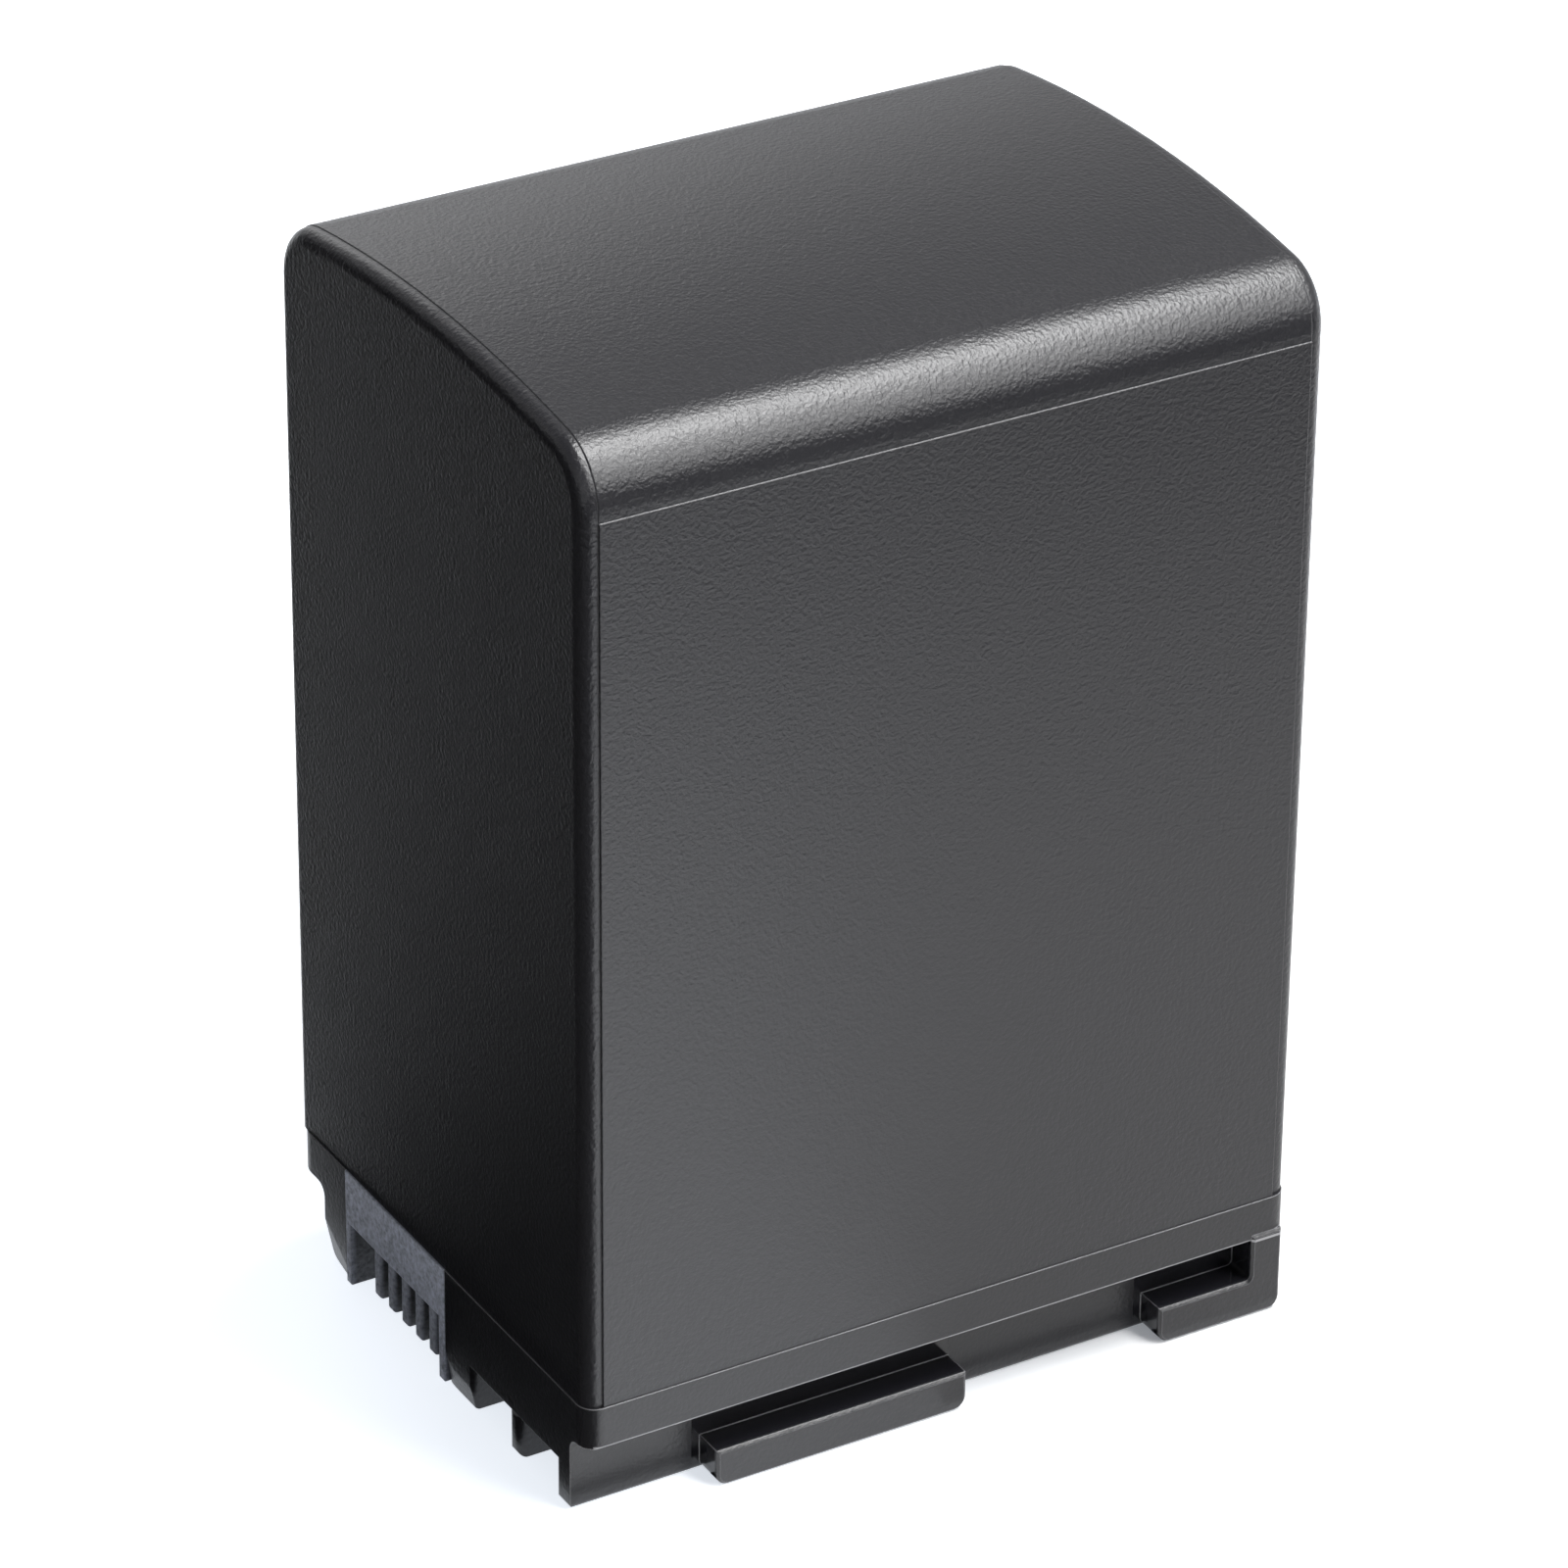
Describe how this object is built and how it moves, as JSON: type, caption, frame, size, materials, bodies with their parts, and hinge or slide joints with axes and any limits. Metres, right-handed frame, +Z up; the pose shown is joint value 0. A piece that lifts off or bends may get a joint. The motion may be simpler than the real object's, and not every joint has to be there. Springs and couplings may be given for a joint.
{
  "type": "camcorder battery pack",
  "caption": "Upright dark plastic rechargeable battery pack with an arched top, hook rails along the base and a comb of blade terminals, made to slide onto a camera's plate.",
  "frame": {"origin": "centre of the mating face, the underside of the base cover", "axes": "+Z up to the arched top, X along the slide with the terminals at -X, -Y out of the front face"},
  "size_m": [0.0402, 0.0306, 0.0583],
  "materials": {
    "case_plastic": "fine spark-eroded satin",
    "base_plastic": "fine spark-eroded satin",
    "block_plastic": "sandblasted matte",
    "contact": "plated, bright",
    "nickel": "rolled strip",
    "cell_can": "drawn can",
    "insulator": "matte",
    "foam": "open foam",
    "board": "solder mask",
    "chip": "moulded",
    "ceramic_chip": "fired"
  },
  "bodies": {
    "root": {"main_case": "case_plastic", "base_cover": "base_plastic", "terminal_block": "block_plastic", "strap_negative": "nickel", "strap_middle": "nickel", "strap_positive": "nickel", "insulator_plate": "insulator", "foam_pad": "foam", "circuit_board": "board", "protection_ic": "chip", "gauge_ic": "chip", "charge_mosfet": "chip", "discharge_mosfet": "chip", "sense_resistor": "ceramic_chip", "chip_fuse": "ceramic_chip", "thermistor": "ceramic_chip", "blade_contact_1": "contact", "blade_contact_2": "contact", "blade_contact_3": "contact", "blade_contact_4": "contact", "blade_contact_5": "contact", "cell_1": "cell_can", "cell_2": "cell_can", "cell_3": "cell_can", "cell_4": "cell_can"}
  },
  "joints": []
}
